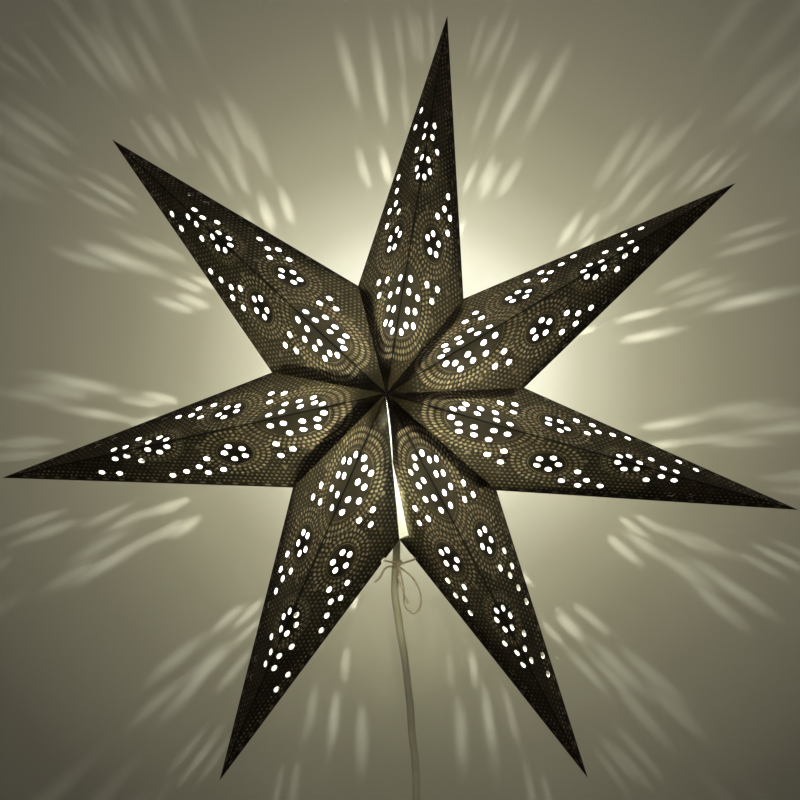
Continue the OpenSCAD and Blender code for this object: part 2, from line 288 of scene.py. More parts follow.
def make_dotted_rings():
    """Rows of dots round a centre, each row set half a dot on from the last."""
    g, given, out = new_group(
        "dotted_rings",
        [("Place", VECTOR, None), ("Centre", VECTOR, None), ("Stretch", VECTOR, (1, 1, 1)),
         ("Start", NUMBER, 0.0), ("Row", NUMBER, 0.0039), ("Spacing", NUMBER, 0.0037),
         ("Dot", NUMBER, 0.0009), ("Long", NUMBER, 1.0)],
        [("Dots", NUMBER), ("Chance", NUMBER), ("Reach", NUMBER)])
    away = g.vector("MULTIPLY", g.vector("SUBTRACT", given["Place"], given["Centre"]),
                    given["Stretch"])
    reach = g.vector("LENGTH", away)
    row = g.math("ROUND", g.math("DIVIDE", g.math("SUBTRACT", reach, given["Start"]),
                                 given["Row"]))
    ring_r = g.math("MAXIMUM", g.math("ADD", g.math("MULTIPLY", row, given["Row"]),
                                      given["Start"]), 0.0002)
    round_l = g.math("MULTIPLY", ring_r, 2 * math.pi)
    parts = g.node("ShaderNodeSeparateXYZ")
    g.put(parts.inputs[0], away)
    turn = g.math("DIVIDE", g.math("ARCTAN2", parts.outputs[1], parts.outputs[0]), 2 * math.pi)
    count = g.math("MAXIMUM", g.math("ROUND", g.math("DIVIDE", round_l, given["Spacing"])), 1.0)
    phase = g.math("ADD", g.math("MULTIPLY", turn, count), g.math("MULTIPLY", row, 0.5))
    cell_l = g.math("DIVIDE", round_l, count)
    sideways = g.math("MULTIPLY", g.math("SUBTRACT", g.math("FRACT", phase), 0.5), cell_l)
    dot_outputs(g, given, out, sideways, g.math("SUBTRACT", reach, ring_r), row, phase)
    g.put(out["Reach"], reach)


def make_dotted_rows():
    """Straight rows of dots, each row set half a dot on from the last."""
    g, given, out = new_group(
        "dotted_rows",
        [("Place", VECTOR, None), ("Row", NUMBER, 0.0039), ("Spacing", NUMBER, 0.0037),
         ("Dot", NUMBER, 0.0009), ("Long", NUMBER, 1.0)],
        [("Dots", NUMBER), ("Chance", NUMBER)])
    parts = g.node("ShaderNodeSeparateXYZ")
    g.put(parts.inputs[0], given["Place"])
    rows = g.math("DIVIDE", parts.outputs[1], given["Row"])
    row = g.math("FLOOR", rows)
    phase = g.math("ADD", g.math("DIVIDE", parts.outputs[0], given["Spacing"]),
                   g.math("MULTIPLY", row, 0.5))
    sideways = g.math("MULTIPLY", g.math("SUBTRACT", g.math("FRACT", phase), 0.5),
                      given["Spacing"])
    outward = g.math("MULTIPLY", g.math("SUBTRACT", g.math("FRACT", rows), 0.5), given["Row"])
    dot_outputs(g, given, out, sideways, outward, row, phase)


def make_ring_line():
    """A thin line at one distance."""
    g, given, out = new_group(
        "ring_line", [("Reach", NUMBER, None), ("Radius", NUMBER, 0.01), ("Width", NUMBER, 0.0004)],
        [("Line", NUMBER)])
    off = g.math("ABSOLUTE", g.math("SUBTRACT", given["Reach"], given["Radius"]))
    g.put(out["Line"], g.step(off, g.math("ADD", given["Width"], 0.0002), given["Width"]))


# The three places on a half point that dotted rows go round: centre, stretch, start and width of
# the rows, spacing, size and length of the dots, inner and outer end of the rows, and lines
ROSETTES = (((0.0715, 0, 0), (0.78, 1, 1), 0.0022, 0.0039, 0.0029, 0.0008, 1.6, 0.0232, 0.0358,
             (0.0219, 0.0297)),
            ((0.128, 0.0253, 0), (0.9, 1, 1), 0.0003, 0.0037, 0.0036, 0.0009, 1.3, 0.0138, 0.0246,
             (0.0125, 0.0152)),
            ((0.1805, 0, 0), (0.9, 1, 1), 0.0021, 0.0037, 0.0034, 0.0008, 1.2, 0.0116, 0.0196,
             (0.0155, 0.0188)))
SPOTS = ((0.0725, 0.037), (0.1, 0.05), (0.152, 0.012))


def make_ornament():
    """The print of half a point: dotted rows round three places on it, and along its edge."""
    g, given, out = new_group("ornament", [("Sheet", VECTOR, None), ("Rim", VECTOR, None)],
                              [("Bare", NUMBER), ("Tone", NUMBER), ("Heart", NUMBER)])
    place = g.vector("ABSOLUTE", given["Sheet"])
    sheet = g.node("ShaderNodeSeparateXYZ")
    g.put(sheet.inputs[0], place)
    rim = g.node("ShaderNodeSeparateXYZ")
    g.put(rim.inputs[0], given["Rim"])
    wobble = g.noise(place, 240.0, 1.0)
    shaky = g.vector("ADD", place, g.vector("MULTIPLY", g.vector("SUBTRACT", wobble,
                                                                 (0.5, 0.5, 0.5)),
                                            (0.0011, 0.0011, 0)))
    edge_rows = g.group("dotted_rows", Place=given["Rim"], Spacing=0.0036, Dot=0.0008)
    from_edge_in = rim.outputs[1]
    in_tail = g.step(sheet.outputs[0], 0.19, 0.205)
    in_rows = g.math("MULTIPLY", g.step(from_edge_in, 0.0035, 0.0042),
                     g.step(from_edge_in, 0.0125, 0.0118))
    quiet = mix_number(g, in_tail, 0.7, mix_number(g, in_rows, 0.3, 0.85))
    bare = g.math("MULTIPLY", edge_rows["Dots"], quiet)
    tone = edge_rows["Chance"]
    rings, shares = [], []
    for centre, stretch, first, row, spacing, dot, long, _, room, _ in ROSETTES:
        ring = g.group("dotted_rings", Place=shaky, Centre=centre, Stretch=stretch, Start=first,
                       Row=row, Spacing=spacing, Dot=dot, Long=long)
        rings.append(ring)
        shares.append(g.math("DIVIDE", ring["Reach"], room))
    nearest = g.math("MINIMUM", g.math("MINIMUM", shares[0], shares[1]), shares[2])
    for ring, share, (*_, heart, _, lines) in zip(rings, shares, ROSETTES):
        own = g.math("MULTIPLY", g.math("LESS_THAN", share, g.math("ADD", nearest, 0.0001)),
                     g.math("LESS_THAN", share, 1.0))
        dots = g.math("MULTIPLY", ring["Dots"], g.step(ring["Reach"], heart - 0.0008, heart))
        bare = mix_number(g, own, bare, dots)
        tone = mix_number(g, own, tone, ring["Chance"])
        for radius in lines:
            line = g.group("ring_line", Reach=ring["Reach"], Radius=radius, Width=0.00022)["Line"]
            bare = g.math("MAXIMUM", bare,
                          g.math("MULTIPLY", g.math("MULTIPLY", line, own), 0.45))
    for spot in SPOTS:
        off = g.vector("LENGTH", g.vector("SUBTRACT", place, (*spot, 0)))
        bare = g.math("MAXIMUM", bare, g.math("MULTIPLY", g.step(off, 0.0021, 0.0015), 0.6))
    border = g.group("dotted_rows", Place=g.vector("MULTIPLY", given["Rim"], (0.5, 1, 1)),
                     Row=0.0052, Spacing=0.0061, Dot=0.0011)
    at_edge = g.math("LESS_THAN", from_edge_in, 0.005)
    bare = mix_number(g, at_edge, bare, g.math("MULTIPLY", border["Dots"], 0.55))
    near_middle = g.step(sheet.outputs[0], 0.018, 0.03)
    g.put(out["Bare"], g.math("MULTIPLY", bare, g.math("ADD", 0.12,
                                                       g.math("MULTIPLY", near_middle, 0.88))))
    g.put(out["Tone"], tone)
    g.put(out["Heart"], g.step(rings[0]["Reach"], 0.023, 0.018))


def mix_number(g, share, first, second):
    made = g.node("ShaderNodeMix", data_type="FLOAT")
    for place, value in ((0, share), (2, first), (3, second)):
        g.put(made.inputs[place], value)
    return made.outputs[0]


def new_material(name):
    """A material with a Principled shader, and its graph."""
    made = bpy.data.materials.new(name)
    made.use_nodes = True
    graph = Graph(made.node_tree)
    return made, graph, made.node_tree.nodes["Principled BSDF"]


def bump(g, shader, height, distance, strength=1.0):
    made = g.node("ShaderNodeBump")
    made.inputs["Distance"].default_value = distance
    made.inputs["Strength"].default_value = strength
    g.put(made.inputs["Height"], height)
    g.put(shader.inputs["Normal"], made.outputs[0])


def see_through(g, shader, colour, share):
    """Lets light through the paper: a translucent shader beside the Principled one."""
    through = g.node("ShaderNodeBsdfTranslucent")
    g.put(through.inputs["Color"], colour)
    both = g.node("ShaderNodeMixShader")
    both.inputs[0].default_value = share
    g.put(both.inputs[1], shader.outputs[0])
    g.put(both.inputs[2], through.outputs[0])
    g.put(g.tree.nodes["Material Output"].inputs["Surface"], both.outputs[0])


# Half width and colour of the painted shade along each fold, and the light through paper that lets
# hardly any through, for the painted shade along the folds and beside the seam
CREASE_W = 0.0011
PAINTED_FOLD_SHADE_COLOUR = (0.003, 0.002, 0.001)
HARDLY_LIT = (0.0003, 0.0002, 0.0001)


def beside_seam(g, parts, from_fold, corner):
    """Distance from the seam into a face, and distance down the seam from the star's middle."""
    way = corner.normalized()
    off = g.math("SUBTRACT", g.math("MULTIPLY", parts.outputs[0], way.y),
                 g.math("MULTIPLY", from_fold, way.x))
    down = g.math("ADD", g.math("MULTIPLY", parts.outputs[0], way.x),
                  g.math("MULTIPLY", from_fold, way.y))
    return off, down


def bare_margin(g, off, down, seam_l):
    """Width left by the bare margin: narrow near the middle, wide just above the inner corner."""
    narrow = g.math("SUBTRACT", 0.0011, g.math("MULTIPLY", g.math("POWER", g.math(
        "SUBTRACT", down, 0.033), 2.0), 1.8))
    wide = g.math("MINIMUM", g.math("MULTIPLY", g.math("SUBTRACT", down, 0.059), 0.155),
                  g.math("MULTIPLY", g.math("SUBTRACT", seam_l - 0.001, down), 1.1))
    torn = g.math("ADD", 0.85, g.math("MULTIPLY", g.noise(g.place(), 140.0, 2.0), 0.3))
    return g.math("SUBTRACT", off, g.math("MULTIPLY", g.math("MAXIMUM", narrow, wide), torn))


def make_printed_paper(name, finish, margin_at=None, sheen_at=None):
    """Dark brown print with golden dots and painted shade along the folds, with a bare margin,
    painted shade and a painted glow, or a painted sheen, along the open seam.
    """
    made, g, shader = new_material(name)
    sheet = g.uv("sheet")
    print_on = g.group("ornament", Sheet=sheet, Rim=g.uv("rim"))
    parts = g.node("ShaderNodeSeparateXYZ")
    g.put(parts.inputs[0], sheet)
    from_fold = g.math("ABSOLUTE", parts.outputs[1])
    # Painted shade along each fold: a thin dark line without dots, that lets hardly any light
    # through
    painted_fold_shade = g.step(from_fold, CREASE_W, CREASE_W - 0.0005)
    bare = g.math("MULTIPLY", print_on["Bare"], g.math("SUBTRACT", 1.0, painted_fold_shade))
    wear = g.step(g.noise(g.place(), 70.0, 4.0, 0.6), 0.4, 0.65)
    rust = g.step(g.noise(g.place(), 34.0, 2.0), 0.46, 0.6)
    ink = g.mix(wear, tuple(finish.ink), tuple(finish.ink_light))
    # Painted glow: the print among the middle holes is lighter
    ink = g.mix(g.math("MULTIPLY", print_on["Heart"], 0.6), ink, tuple(finish.heart))
    ink = g.mix(painted_fold_shade, ink, PAINTED_FOLD_SHADE_COLOUR)
    dots = g.mix(print_on["Tone"], tuple(finish.gold), tuple(finish.gold_light))
    dots = g.mix(g.math("MULTIPLY", rust, 0.6), dots, tuple(finish.rust))
    colour = g.mix(bare, ink, dots)
    ink_lit = g.mix(wear, tuple(finish.ink_lit), tuple(1.8 * c for c in finish.ink_lit))
    ink_lit = g.mix(g.math("MULTIPLY", print_on["Heart"], 0.7), ink_lit, tuple(finish.heart_lit))
    ink_lit = g.mix(painted_fold_shade, ink_lit, HARDLY_LIT)
    dots_lit = g.mix(print_on["Tone"], tuple(finish.gold_lit), tuple(finish.gold_lit_light))
    lit = g.mix(bare, ink_lit, dots_lit)
    if margin_at is not None:
        off, down = beside_seam(g, parts, from_fold, margin_at)
        past = bare_margin(g, off, down, margin_at.length)
        # Painted shade: beside the bare margin near the star's middle the print is made almost black
        # and lets hardly any light through
        shade = g.math("MULTIPLY", g.step(past, 0.009, 0.005), g.step(down, 0.064, 0.056))
        lit = g.mix(g.math("MULTIPLY", shade, 0.92), lit, HARDLY_LIT)
        colour = g.mix(g.math("MULTIPLY", shade, 0.7), colour, (0.01, 0.008, 0.005))
        # Painted glow: more light through the print beside the margin lower down, for light let out
        # by the open seam
        glow = g.math("MULTIPLY", g.step(past, 0.009, 0.0), g.step(down, 0.064, 0.09))
        lit = g.mix(g.math("MULTIPLY", glow, 0.7), lit, (0.075, 0.065, 0.035))
        margin = g.step(past, 0.0006, -0.0003)
        colour = g.mix(margin, colour, tuple(finish.cream))
        lit = g.mix(margin, lit, (0.9, 0.95, 1.0))
    if sheen_at is not None:
        off, down = beside_seam(g, parts, from_fold, sheen_at)
        # Painted sheen: more light through the print within 11 mm of the seam, from about 10 to 64
        # mm down from the middle
        sheen = g.math("MULTIPLY", g.step(off, 0.011, 0.0),
                       g.math("MULTIPLY", g.step(down, 0.01, 0.034), g.step(down, 0.064, 0.052)))
        lit = g.mix(g.math("MULTIPLY", sheen, 0.8), lit, (0.04, 0.038, 0.027))
    g.put(shader.inputs["Base Color"], colour)
    shader.inputs["Specular IOR Level"].default_value = 0.2
    fibre = g.noise(g.place(), 900.0, 3.0)
    g.put(shader.inputs["Roughness"], mix_number(g, fibre, 0.5, 0.72))
    height = g.math("ADD", g.math("MULTIPLY", fibre, 0.05), g.noise(g.place(), 16.0, 1.0))
    bump(g, shader, height, 0.0018)
    see_through(g, shader, lit, 0.5)
    return made


def make_bare_paper(name, finish, tint, share=0.4):
    """Unprinted cream paper with fine fibres."""
    made, g, shader = new_material(name)
    cream = tuple(c * tint for c in finish.cream)
    fibre = g.noise(g.place(), 700.0, 4.0, 0.7)
    colour = g.mix(g.step(fibre, 0.35, 0.75), tuple(0.9 * c for c in cream), cream)
    g.put(shader.inputs["Base Color"], colour)
    g.put(shader.inputs["Roughness"], mix_number(g, fibre, 0.6, 0.8))
    bump(g, shader, fibre, 0.0001)
    see_through(g, shader, colour, share)
    return made


def make_plastic(name, finish, scuff):
    """Moulded white plastic, a little yellowed, with faint scuffs."""
    made, g, shader = new_material(name)
    base = tuple(finish.plastic)
    stain = g.noise(g.place(), 60.0, 3.0)
    stained = (0.9 * base[0], 0.9 * base[1], 0.82 * base[2])
    g.put(shader.inputs["Base Color"], g.mix(g.step(stain, 0.35, 0.7), base, stained))
    grain = g.noise(g.place(), 1500.0, 2.0)
    g.put(shader.inputs["Roughness"], mix_number(g, grain, scuff, scuff + 0.15))
    bump(g, shader, grain, 0.00003)
    return made


def make_nickel(finish):
    """Plated metal with fine turning marks."""
    made, g, shader = new_material("nickel_plating")
    base = tuple(finish.nickel)
    marks = g.noise(g.vector("MULTIPLY", g.place(), (1, 1, 12)), 300.0, 2.0)
    g.put(shader.inputs["Base Color"], g.mix(marks, base, tuple(0.8 * c for c in base)))
    shader.inputs["Metallic"].default_value = 1.0
    g.put(shader.inputs["Roughness"], mix_number(g, marks, 0.22, 0.4))
    bump(g, shader, marks, 0.00002)
    return made


def make_twine(finish):
    """Two strands of jute twisted together, with loose fibres."""
    made, g, shader = new_material("tan_twine")
    fibre = g.noise(g.place(), 1400.0, 4.0, 0.7)
    twist = g.node("ShaderNodeTexWave", wave_type="BANDS", bands_direction="DIAGONAL")
    g.put(twist.inputs["Vector"], g.place())
    twist.inputs["Scale"].default_value = 420.0
    twist.inputs["Distortion"].default_value = 1.5
    strand = twist.outputs["Fac"]
    base = tuple(finish.twine)
    g.put(shader.inputs["Base Color"],
          g.mix(g.math("MULTIPLY", strand, g.step(fibre, 0.3, 0.7)), tuple(0.7 * c for c in base),
                base))
    g.put(shader.inputs["Roughness"], mix_number(g, fibre, 0.75, 0.95))
    bump(g, shader, g.math("ADD", strand, g.math("MULTIPLY", fibre, 0.5)), 0.0003)
    return made


def make_strap(finish):
    """Hook-and-loop fabric."""
    made, g, shader = new_material("strap_fabric")
    loops = g.noise(g.place(), 2600.0, 2.0, 0.8)
    base = tuple(finish.strap)
    g.put(shader.inputs["Base Color"], g.mix(loops, base, tuple(2.2 * c for c in base)))
    g.put(shader.inputs["Roughness"], mix_number(g, loops, 0.8, 1.0))
    bump(g, shader, loops, 0.0003)
    return made


def make_glass():
    """Clear glass with a faint green tint and thin dust."""
    made, g, shader = new_material("bulb_glass")
    shader.inputs["Base Color"].default_value = (0.97, 1.0, 0.96, 1)
    shader.inputs["Transmission Weight"].default_value = 1.0
    shader.inputs["IOR"].default_value = 1.45
    dust = g.noise(g.place(), 180.0, 3.0)
    g.put(shader.inputs["Roughness"], mix_number(g, g.step(dust, 0.4, 0.8), 0.04, 0.2))
    return made


def make_glow(name, colour, strength):
    """A part that shines, a little less at some places than at others."""
    made, g, shader = new_material(name)
    shader.inputs["Base Color"].default_value = (*colour, 1)
    shader.inputs["Emission Strength"].default_value = strength
    spots = g.noise(g.place(), 900.0, 2.0)
    g.put(shader.inputs["Emission Color"], g.mix(spots, tuple(0.8 * c for c in colour), colour))
    shader.inputs["Roughness"].default_value = 0.5
    return made


# Helpers for pieces

def finish_piece(name, bm, materials, smooth=None):
    """Makes an object of the bmesh, in place, riding on the lamp."""
    mesh = bpy.data.meshes.new(name)
    bm.to_mesh(mesh)
    bm.free()
    if smooth is not None:
        mesh.shade_smooth()
        mesh.set_sharp_from_angle(angle=math.radians(smooth))
    for material in materials:
        mesh.materials.append(material)
    made = bpy.data.objects.new(name, mesh)
    bpy.context.scene.collection.objects.link(made)
    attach(made, "root")
    return made


def turned(bm, outline, centre, steps=48, index=0, axis=(0, 0, 1)):
    """Turns an outline of radius and height about an axis through centre."""
    points = [bm.verts.new((r, 0, h)) for r, h in outline]
    edges = [bm.edges.new(pair) for pair in zip(points, points[1:])]
    made = bmesh.ops.spin(bm, geom=points + edges, cent=(0, 0, 0), axis=(0, 0, 1),
                          angle=2 * math.pi, steps=steps, use_merge=True)
    verts = set(points)
    for part in made["geom_last"]:
        if isinstance(part, bmesh.types.BMVert):
            verts.add(part)
    reached = set(verts)
    while verts:
        verts = {e.other_vert(v) for v in verts for e in v.link_edges} - reached
        reached |= verts
    bmesh.ops.remove_doubles(bm, verts=list(reached), dist=1e-6)
    left = [v for v in reached if v.is_valid]
    faces = list({f for v in left for f in v.link_faces})
    bmesh.ops.recalc_face_normals(bm, faces=faces)
    for face in faces:
        face.material_index = index
    turn = Vector((0, 0, 1)).rotation_difference(Vector(axis)).to_matrix().to_4x4()
    turn.translation = Vector(centre)
    bmesh.ops.transform(bm, matrix=turn, verts=left)
    return left, faces


def smooth_cord(name, route, diameter, material, sides=4):
    """A round cord along a route, as a curve of one open spline."""
    data = bpy.data.curves.new(name, "CURVE")
    data.dimensions = "3D"
    data.bevel_depth = diameter / 2
    data.bevel_resolution = sides
    data.resolution_u = 5
    data.use_fill_caps = True
    spline = data.splines.new("BEZIER")
    spline.bezier_points.add(len(route) - 1)
    for point, place in zip(spline.bezier_points, route):
        point.co = place
        point.handle_left_type = point.handle_right_type = "AUTO"
    data.materials.append(material)
    made = bpy.data.objects.new(name, data)
    bpy.context.scene.collection.objects.link(made)
    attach(made, "root")
    return made


def place_light(name, kind, power, size, colour, place, aim=None):
    """Adds a light, turned towards its aim where it has one."""
    data = bpy.data.lights.new(name, kind)
    data.energy = power
    data.color = colour
    setattr(data, "size" if kind == "AREA" else "shadow_soft_size", size)
    made = bpy.data.objects.new(name, data)
    made.location = place
    if aim is not None:
        way = Vector(aim) - Vector(place)
        made.rotation_euler = way.to_track_quat("-Z", "Y").to_euler()
    bpy.context.scene.collection.objects.link(made)
    return data


def millimetres(route):
    return [Vector(p) * MM for p in route]


# Operators

class STARLAMP_OT_camera(bpy.types.Operator):
    """Sets up the camera in front of the star, a little below and to its right"""
    bl_idname = "starlamp.camera"
    bl_label = "Camera"

    def execute(self, context):
        data = bpy.data.cameras.new("camera")
        data.lens = 67.5
        data.sensor_width = 36
        data.clip_end = 50
        made = bpy.data.objects.new("camera", data)
        context.scene.collection.objects.link(made)
        made.location = (0.0868, -1.1812, -0.1159)
        aim = Vector((0.0032, -0.084, 0.0048)) - made.location
        made.rotation_euler = aim.to_track_quat("-Z", "Y").to_euler()
        context.scene.camera = made
        return {"FINISHED"}


# The cord hangs from the cord grip, through its slot and down to the coil
CORD_ROUTE = ((0, -76, -78), (0, -76, -92), (0, -76, -108), (-1, -76, -124), (-1, -76, -138),
              (1, -76, -152), (3, -76, -166), (6, -75, -184), (8, -74, -202), (10, -73, -220),
              (11, -72, -238), (13, -71, -256), (14, -70, -274), (14, -70, -288))
COIL_CENTRE = Vector((6.5, -78.25, -356)) * MM
COIL_ROWS = 4
COIL_TURN_R = 23.5 * MM
COIL_START = 30
LEAD_BEND_R = 25 * MM
PLUG_TOP = Vector((58, -86.5, -360)) * MM


def coil_route(pitch):
    """Turns wound row on row and column by column, from the outside at the back to the front."""
    rows = list(range(COIL_ROWS - 1, -1, -1))
    places = []
    for column in range(COIL_ROWS):
        for row in rows if column % 2 == 0 else rows[::-1]:
            places.append((COIL_TURN_R + row * pitch, (1.5 - column) * pitch))
    per_turn = 20
    route = []
    for k, (radius, depth) in enumerate(places):
        after = places[min(k + 1, len(places) - 1)]
        for step in range(per_turn):
            share = step / per_turn
            ease = max(0, (share - 0.8) / 0.2)
            ease = ease * ease * (3 - 2 * ease)
            r = radius + (after[0] - radius) * ease
            y = depth + (after[1] - depth) * ease
            a = math.radians(COIL_START + 360 * share)
            route.append(COIL_CENTRE + Vector((r * math.sin(a), y, r * math.cos(a))))
    radius, depth = places[-1]
    a = math.radians(COIL_START)
    route.append(COIL_CENTRE + Vector((radius * math.sin(a), depth, radius * math.cos(a))))
    return route


def bend(start, heading, turn, steps):
    """Points along a bend of the cord, from a start and heading in degrees in the star's plane."""
    side = 1 if turn > 0 else -1
    route = []
    for k in range(1, steps + 1):
        a = math.radians(heading + turn * k / steps)
        b = math.radians(heading)
        route.append(start + LEAD_BEND_R * side * Vector(
            (math.sin(a) - math.sin(b), 0, math.cos(b) - math.cos(a))))
    return route


class STARLAMP_OT_cord(bpy.types.Operator):
    """Makes the mains cord with its coil, strap, strain relief and plug"""
    bl_idname = "starlamp.cord"
    bl_label = "Mains cord"

    def execute(self, context):
        lamp, finish = context.scene.lamp_sizes, context.scene.lamp_finish
        white = make_plastic("cord_plastic", finish, 0.42)
        rubber = make_plastic("plug_plastic", finish, 0.5)
        nickel = make_nickel(finish)
        coil = coil_route(lamp.cord_d)
        a = math.radians(COIL_START)
        down = LEAD_BEND_R * Vector((1 - math.cos(math.radians(60)), 0,
                                     -math.sin(math.radians(60))))
        lead_in = coil[0] - down
        route = millimetres(CORD_ROUTE) + [lead_in] + bend(lead_in, -90, 60, 3)[:-1] + coil
        leave = coil[-1] + 22 * MM * Vector((math.cos(a), 0, -math.sin(a)))
        route += [(coil[-1] + leave) / 2, leave] + bend(leave, -30, -60, 3) + [PLUG_TOP]
        cord = smooth_cord("mains_cord_run", route, lamp.cord_d, white)
        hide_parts("mains_cord", "cord_coil", "cord_tail")

        bm = bmesh.new()
        turned(bm, [(0, 0), (0.0042, 0), (0.0046, -0.004), (0.0046, -0.013), (0.0040, -0.0135),
                    (0.0040, -0.0148), (0.0044, -0.0153), (0.0036, -0.0195), (0.0028, -0.0215),
                    (0, -0.0215)],
               (0, lamp.axis_y, lamp.holder_z + 0.0125), 32)
        relief = finish_piece("holder_strain_relief", bm, [rubber], 30)

        bm = bmesh.new()
        ribs = [(0, 0), (0.0034, 0)]
        for k in range(6):
            z, r = -0.002 - 0.0031 * k, 0.0036 + 0.00032 * k
            ribs += [(r, z), (r + 0.0001, z - 0.0017), (r - 0.0006, z - 0.0021),
                     (r - 0.0006, z - 0.0027)]
        ribs += [(0.0055, -0.0215), (0.0055, -0.0225), (0, -0.0225)]
        turned(bm, ribs, PLUG_TOP, 32)
        plug_relief = finish_piece("plug_strain_relief", bm, [rubber], 30)

        bm = bmesh.new()
        half = [(0.0055, -0.022), (0.0105, -0.0245), (0.017, -0.032), (0.017, -0.056)]
        outline = [(y, z) for y, z in half] + [(-y, z) for y, z in reversed(half)]
        rim = [bm.verts.new((-0.007, y, z)) for y, z in outline]
        face = bm.faces.new(rim)
        grown = bmesh.ops.extrude_face_region(bm, geom=[face])["geom"]
        bmesh.ops.translate(bm, vec=(0.014, 0, 0),
                            verts=[v for v in grown if isinstance(v, bmesh.types.BMVert)])
        bmesh.ops.recalc_face_normals(bm, faces=bm.faces)
        bmesh.ops.bevel(bm, geom=list(bm.edges), offset=0.0022, segments=4, affect="EDGES",
                        profile=0.5, material=-1)
        sides = [f for f in bm.faces if abs(f.normal.x) > 0.99 and f.calc_area() > 1e-4]
        bmesh.ops.inset_region(bm, faces=sides, thickness=0.0028, depth=0)
        for f in sides:
            bmesh.ops.translate(bm, vec=-0.0007 * f.normal, verts=list(f.verts))
        bmesh.ops.translate(bm, vec=PLUG_TOP, verts=bm.verts)
        plug = finish_piece("plug_shell", bm, [rubber], 35)
        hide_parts("plug_body")

        bm = bmesh.new()
        for side in (-1, 1):
            foot = PLUG_TOP + Vector((0, side * 0.009, -0.056))
            turned(bm, [(0, 0.002), (0.0019, 0.002), (0.0019, -0.0095), (0, -0.0095)], foot, 24, 0)
            turned(bm, [(0, -0.009), (0.002, -0.009), (0.002, -0.0172), (0.0017, -0.0184),
                        (0.0009, -0.019), (0, -0.019)], foot, 24, 1)
        pins = finish_piece("plug_pins", bm, [rubber, nickel], 35)
        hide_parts("plug_pin_near", "plug_pin_far")

        low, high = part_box("coil_strap")
        bm = bmesh.new()
        rim = [bm.verts.new((x, y, low.z)) for x, y in ((low.x, low.y), (high.x, low.y),
                                                        (high.x, high.y), (low.x, high.y))]
        band = bm.faces.new(rim)
        bmesh.ops.bevel(bm, geom=list(band.verts), offset=0.003, segments=5, affect="VERTICES",
                        profile=0.5, material=-1)
        band = list(bm.faces)[0]
        bmesh.ops.inset_region(bm, faces=[band], thickness=0.0012, depth=0, use_boundary=True)
        bmesh.ops.delete(bm, geom=[band], context="FACES")
        grown = bmesh.ops.extrude_face_region(bm, geom=list(bm.faces))["geom"]
        bmesh.ops.translate(bm, vec=(0, 0, high.z - low.z),
                            verts=[v for v in grown if isinstance(v, bmesh.types.BMVert)])
        bmesh.ops.recalc_face_normals(bm, faces=bm.faces)
        strap = finish_piece("coil_strap_band", bm, [make_strap(finish)], 35)
        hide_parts("coil_strap")
        return {"FINISHED"}


# One length of twine: left end, knot, round through the two holes, and back into the knot
TIE_ROUTE = ((1, -81.3, -114.3), (-1.5, -82, -114.1), (-4, -83, -113.8), (-8, -83.8, -113),
             (-10.9, -84, -112), (-11, -84, -109.5), (-10, -84, -105), (-7, -84, -100),
             (-3, -84, -95.5), (1, -84, -92), (4.5, -84, -91), (8, -84, -92.5), (12, -84, -97),
             (14, -84, -102), (15.6, -84, -106.5), (15.2, -84, -110.5), (13.2, -83.6, -112.3),
             (10.5, -82.7, -113.2), (7.5, -81.8, -114.2), (4.5, -82, -115.3), (2.2, -82.8, -115.8),
             (0.2, -82.6, -116), (-3.5, -84, -117), (-7.5, -84.5, -118.8), (-10, -84, -122.5),
             (-12, -83, -126), (-15.5, -82, -128.5))
BOW_ROUTE = ((2.5, -81, -116), (2.7, -81, -117.6), (6, -83, -120), (10, -85, -123),
             (13.5, -86, -127), (15.7, -86, -130.5), (17.9, -86, -135.5), (18.6, -86, -140),
             (18.2, -85.5, -145), (16.4, -85, -149), (13, -84.5, -151), (9.6, -84, -149.5),
             (7.3, -83.5, -146.5), (6.2, -83, -142.5), (6, -82.5, -138), (5.8, -82, -133.5),
             (5, -81.5, -128.7), (3.7, -81, -123.5), (1.7, -80, -117.6))
END_ROUTE = ((1.9, -81.5, -114.5), (1.2, -82.5, -117), (0.6, -84.5, -120.5),
             (1.6, -86.5, -124.5), (3.4, -87.5, -129), (5.2, -88, -133.5), (7, -88, -138.5),
             (9.5, -87.5, -143.5))
KNOT_AT = Vector((2.5, -81, -114.5)) * MM


